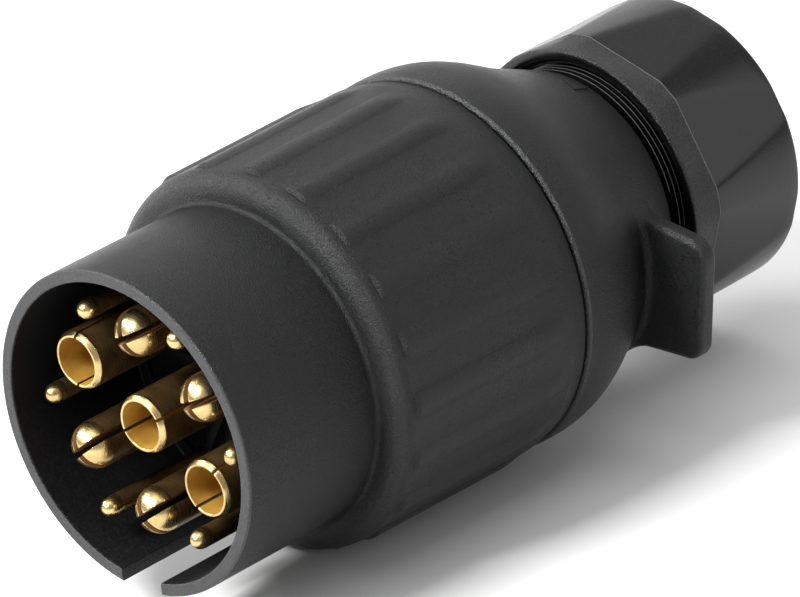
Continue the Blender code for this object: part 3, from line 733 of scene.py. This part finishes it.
def build_gland_nut():
    start, end = depths("gland_nut")
    steps = 8 * 40
    angles = NUT_CORNER + np.arange(steps) * 360 / steps
    from_middle = (angles - NUT_CORNER) % 45 - 22.5

    def facets(apothem, corner):
        return soft_min(apothem / np.cos(np.radians(from_middle)), corner + 0 * angles, 0.05)

    def circle(radius):
        return radius + 0 * angles

    mouth, facet_start, tail = 17.35, 78.0, end - 0.6
    rows = [(circle(16.25), start + 0.08), (circle(16.32), start + 0.02), (circle(16.4), start)]
    rows += [(circle(mouth - 0.3), start), (circle(mouth - 0.1), start + 0.07), (circle(mouth), start + 0.28)]
    front = facets(17.15, 18.0)
    for t in (0.04, 0.2, 0.4, 0.6, 0.8, 0.96):
        rows.append((mouth + (front - mouth) * t, start + 0.28 + (facet_start - start - 0.28) * t))
    rows += [(facets(17.18, 18.02), facet_start), (facets(17.2, 18.04), facet_start + 0.11)]
    for t in (0.03, 0.15, 0.3, 0.45, 0.6, 0.75, 0.9, 1.0):
        rows.append((facets(17.2 + 0.28 * t, 18.05 - 0.45 * t), facet_start + (tail - facet_start) * t))
    for a in (22, 45, 67, 90):
        cut = 0.6 * (1 - cos(radians(a)))
        rows.append((facets(17.48, 17.6) - cut, tail + 0.6 * sin(radians(a))))
    rows += [(circle(15.6), end), (circle(9.0), end)]
    for a in (0, 22, 45, 67, 90):
        rows.append((circle(8.0 + 0.6 * (1 - sin(radians(a)))), end - 0.6 + 0.6 * cos(radians(a))))
    rows += [(circle(r), d) for r, d in (
        (8.0, 90.0), (8.05, 89.65), (8.15, 89.6), (15.2, 89.6), (15.3, 89.5), (15.3, 89.0),
        (15.3, 77.0), (15.3, 75.5), (15.34, 75.4), (16.18, 74.72),
    )]
    radius = np.array([r for r, d in rows])
    depth = np.array([[d] * steps for r, d in rows])
    nut = ring_mesh("gland_nut_moulding", radius, depth, angles, gloss, sharp=32)
    # The nut's front cone: lighter, a painted highlight.
    recolour(nut, nut_cone_painted_highlight, lambda r, d: start + 0.01 < d < facet_start and r > 17.0)
    # The facet's front edge line: painted highlight.
    recolour(nut, light_line_painted_highlight, lambda r, d: facet_start < d < facet_start + 0.11 and r > 17.0)
    return finish_piece(nut, "nut", "nut_plastic", "gland_nut")


# ---------------------------------------------------------------------- seals and washer

def build_gland_seal():
    start, end = depths("gland_seal")
    outline = [(5.5, start, 0.3), (10.7, start, 0.3), (11.5, start + 0.8, 0.3), (11.5, end - 1.2, 0.3)]
    outline += [(10.3, end, 0.3), (5.5, end, 0.4)]
    grooves = []
    for k in range(3, 0, -1):
        d = start + (end - start) * k / 4
        grooves += [(5.5, d + 0.6, 0.2), (6.2, d + 0.25, 0.2), (6.2, d - 0.25, 0.2), (5.5, d - 0.6, 0.2)]
    seal = turned("gland_seal_rubber", rounded(outline + grooves, 4), rubber, 96)
    return finish_piece(seal, "housing", "seal_rubber", "gland_seal")


def build_housing_seal():
    start, end = depths("housing_seal")
    middle = (start + end) / 2
    ring = [(19.75 + 0.52 * cos(2 * pi * k / 16), middle + 0.5 * sin(2 * pi * k / 16)) for k in range(16)]
    seal = turned("housing_seal_ring", ring, rubber, 144)
    return finish_piece(seal, "housing_carriage", "seal_rubber", "housing_seal")


def build_thrust_washer():
    start, end = depths("thrust_washer")
    outline = [(6.1, start, 0.15), (14.8, start, 0.15), (14.8, end, 0.15), (6.1, end, 0.15)]
    washer = turned("thrust_washer_nylon", rounded(outline, 3), nylon, 96)
    return finish_piece(washer, "nut_carriage", "washer_nylon", "thrust_washer")


# ---------------------------------------------------------------------- contacts

TUBES = {"left": (10.65, 150, 86), "centre": (0, 0, 26), "right": (10.65, 330, 58)}
SPLIT_PINS = {"top": (90, 26), "upper_right": (30, 23), "lower_left": (210, 39), "bottom": (270, 36)}
TUBE_RADIUS, TUBE_BORE, TUBE_RIM = 3.45, 2.8, 2.5
SPLIT_PIN_RADIUS, SPLIT_PIN_TIP, SPLIT_PIN_SLOT = 2.75, 1.25, 0.85
SMALL_PIN_RADIUS, SMALL_PIN_TIP = 1.15, 1.8
SPLIT_PIN_CIRCLE, SMALL_PIN_CIRCLE = 10.8, 14.0
SLOT_END = 14.0

CONTACT_PLACES = [(TUBE_RADIUS, circle, angle) for circle, angle, slit in TUBES.values()]
CONTACT_PLACES += [(SPLIT_PIN_RADIUS, SPLIT_PIN_CIRCLE, angle) for angle, slot in SPLIT_PINS.values()]
CONTACT_PLACES += [(SMALL_PIN_RADIUS, SMALL_PIN_CIRCLE, 60 * k) for k in range(6)]


def barrel(shaft, collar):
    """The outline of a contact's rear end, with its collar and the blind hole for the wire."""
    return [
        (shaft, 30.3, 0.05), (collar, 30.3, 0.1), (collar, 31.3, 0.1), (3.0, 31.3, 0.05),
        (3.0, 38.5, 0.25), (1.6, 38.5, 0.2), (1.6, 31.5), (0, 31.5),
    ]


def cross_hole(contact, centre, angle):
    """The hole in the wire barrel that the terminal screw goes through."""
    a = radians(angle)
    hole = turned("hole", [(0, 1.5), (1.45, 1.5), (1.45, 5), (0, 5)], brass, 24,
                  direction=(cos(a), 0, sin(a)))
    hole.data.transform(Matrix.Translation((centre[0] * MM, 34.8 * MM, centre[1] * MM)))
    return combine(contact, hole, edge=0.06, segments=1)


def build_tube(name, circle, angle, slit):
    centre = polar(circle, angle)
    rim = [
        (0, 17.0), (TUBE_BORE, 17.0, 0.1), (TUBE_BORE, TUBE_RIM, 0.08),
        (TUBE_RADIUS - 0.38, TUBE_RIM, 0.08), (TUBE_RADIUS, TUBE_RIM + 0.55, 0.35),
    ]
    outline = rounded(rim + barrel(TUBE_RADIUS, 4.2), 4)
    tube = turned(f"tube_contact_{name}_metal", outline, brass, 64, centre, first=slit + 2.8)
    tool = box_tool((9.0, 16.0, 0.35), (centre[0], SLOT_END - 8.0, centre[1]), slit)
    tube = combine(tube, tool, edge=0.05, segments=2)
    tube = cross_hole(tube, centre, angle)
    # The shaft outside the bore: dark brown painted shade.
    recolour(tube, shaft_painted_shade_brass, lambda r, d: d > TUBE_RIM + 0.9 and r > TUBE_BORE + 0.03, centre)
    # The bore: rougher, and its deeper orange is a painted reflection.
    recolour(tube, bore_painted_reflection_brass, lambda r, d: TUBE_RIM + 0.1 < d < 17.2 and r < TUBE_BORE + 0.02, centre)
    return finish_piece(tube, "shell", "contact_brass", f"tube_contact_{name}")


def build_split_pin(name, angle, slot):
    centre = polar(SPLIT_PIN_CIRCLE, angle)
    r, tip = SPLIT_PIN_RADIUS, SPLIT_PIN_TIP
    dome = [(0, tip)] + [(r * sin(radians(a)), tip + r * (1 - cos(radians(a)))) for a in range(7, 90, 7)]
    rest = rounded([(r, tip + r), (r, tip + r + 1.0)] + barrel(r, 3.75) + [(0, 10.0)], 4)[:-1]
    pin = turned(f"split_pin_{name}_metal", dome + rest, brass, 64, centre, first=slot + 2.8)
    for turn in (0, 90):
        tool = box_tool((8.0, 16.0, SPLIT_PIN_SLOT), (centre[0], SLOT_END - 8.0, centre[1]), slot + turn)
        pin = combine(pin, tool, edge=0.06, segments=2)
    pin = cross_hole(pin, centre, angle)
    skin = r - 0.09

    def in_slot(a, d):
        return d < SLOT_END + 0.5 and hypot(a, tip + r - min(d, tip + r)) < skin

    # The slot walls: dark brown painted shade.
    recolour(pin, slot_painted_shade_brass, in_slot, centre)
    # The shaft: dark brown painted shade.
    recolour(pin, shaft_painted_shade_brass, lambda a, d: d > tip + r + 0.1 and a > skin, centre)
    return finish_piece(pin, "shell", "contact_brass", f"split_pin_{name}")


def build_small_pin(number):
    centre = polar(SMALL_PIN_CIRCLE, 60 * (number - 1))
    r, tip = SMALL_PIN_RADIUS, SMALL_PIN_TIP
    dome = [(0, tip)]
    dome += [(r * sin(radians(a)), tip + 1.25 * r * (1 - cos(radians(a)))) for a in range(10, 91, 10)]
    rest = rounded([
        (r, 3.6), (r, 4.0), (r, 30.3, 0.05), (1.7, 30.3, 0.1), (1.7, 31.3, 0.1), (1.4, 31.3, 0.05),
        (1.4, 36.0, 0.12), (0.95, 36.0, 0.1), (0.95, 32.0, 0.1), (0, 32.0), (0, 10.0),
    ], 3)[:-1]
    pin = turned(f"small_pin_{number}_metal", dome + rest, brass, 36, centre)
    # The shaft: dark brown painted shade.
    recolour(pin, shaft_painted_shade_brass, lambda a, d: d > 3.9, centre)
    return finish_piece(pin, "shell", "contact_brass", f"small_pin_{number}")


# ---------------------------------------------------------------------- build

build_front_shell()
build_insert()
build_housing_seal()
build_rear_housing()
build_gland_seal()
build_thrust_washer()
build_gland_nut()
for name, facts in TUBES.items():
    build_tube(name, *facts)
for name, facts in SPLIT_PINS.items():
    build_split_pin(name, *facts)
for number in range(1, 7):
    build_small_pin(number)

for name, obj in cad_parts.items():
    if name.startswith(("insert_screw", "terminal_screw")):
        obj.data.materials.clear()
        obj.data.materials.append(steel)


# ---------------------------------------------------------------------- stage, light and camera

def pale(name, level):
    material = bpy.data.materials.new(name)
    nodes, links = nodes_of(material)
    shader = nodes["Principled BSDF"]
    shader.inputs["Base Color"].default_value = (level, level, level, 1)
    shader.inputs["Roughness"].default_value = 0.9
    shader.inputs["Specular IOR Level"].default_value = 0.0
    return material


low, high = cad_box
middle = (low + high) / 2
floor_mesh = bpy.data.meshes.new("floor")
FLOOR_HALF = 3.0
floor_corners = [(x * FLOOR_HALF, y * FLOOR_HALF, 0) for x, y in ((-1, -1), (1, -1), (1, 1), (-1, 1))]
floor_mesh.from_pydata(floor_corners, [], [(0, 1, 2, 3)])
floor = as_object("floor", floor_mesh, pale("pale_floor", 0.68))
floor.location.z = low.z

# The surroundings are dim, but for a bright patch beyond the plug on its left.
world = bpy.data.worlds.new("soft_surroundings")
bpy.context.scene.world = world
world.use_nodes = True
sky_nodes, sky_links = world.node_tree.nodes, world.node_tree.links
sky_nodes["Background"].inputs["Color"].default_value = (1, 1, 1, 1)
direction = sky_nodes.new("ShaderNodeTexCoord")
far_side = sky_nodes.new("ShaderNodeVectorMath")
far_side.operation = "DOT_PRODUCT"
far_side.inputs[1].default_value = (-0.68, 0.72, 0.05)
sky_links.new(direction.outputs["Generated"], far_side.inputs[0])
level = sky_nodes.new("ShaderNodeMapRange")
level.interpolation_type = "SMOOTHSTEP"
level.inputs["From Min"].default_value = 0.45
level.inputs["From Max"].default_value = 1.0
level.inputs["To Min"].default_value = 0.45
level.inputs["To Max"].default_value = 1.1
sky_links.new(far_side.outputs["Value"], level.inputs["Value"])
sky_links.new(level.outputs["Result"], sky_nodes["Background"].inputs["Strength"])


def soft_box(name, azimuth, elevation, distance, size, strength):
    """A square area light aimed at the plug from this direction, with a radiance of its own."""
    a, e = radians(azimuth), radians(elevation)
    back = Vector((sin(a) * cos(e), -cos(a) * cos(e), sin(e)))
    light = bpy.data.lights.new(name, "AREA")
    light.shape = "SQUARE"
    light.size = size
    light.energy = strength * size * size * pi
    obj = bpy.data.objects.new(name, light)
    bpy.context.scene.collection.objects.link(obj)
    obj.location = middle + back * distance
    obj.rotation_euler = back.to_track_quat("Z", "Y").to_euler()
    return obj


soft_box("front_key", -12, 42, 0.7, 0.23, 52.0)
soft_box("left_fill", -62, 34, 0.8, 0.3, 17.0)
soft_box("overhead", 100, 84, 0.9, 0.9, 1.7)
soft_box("beyond_right", 134, 27, 0.9, 0.55, 1.2)

camera = bpy.data.objects.new("camera", bpy.data.cameras.new("camera"))
bpy.context.scene.collection.objects.link(camera)
camera.data.sensor_width = 36
camera.data.lens = 323.93
camera.data.clip_start = 0.05
camera.data.clip_end = 20
right = Vector((0.72161383, 0.68635223, -0.09052132))
up = Vector((-0.23340056, 0.36429629, 0.90156109))
back = Vector((0.65176504, -0.62945122, 0.42307623))
turn = Matrix((right, up, back)).transposed().to_4x4()
camera.matrix_world = Matrix.Translation(AXIS + Vector((528.462, -466.808, 341.831)) * MM) @ turn
bpy.context.scene.camera = camera
bpy.context.scene.view_settings.view_transform = "Standard"
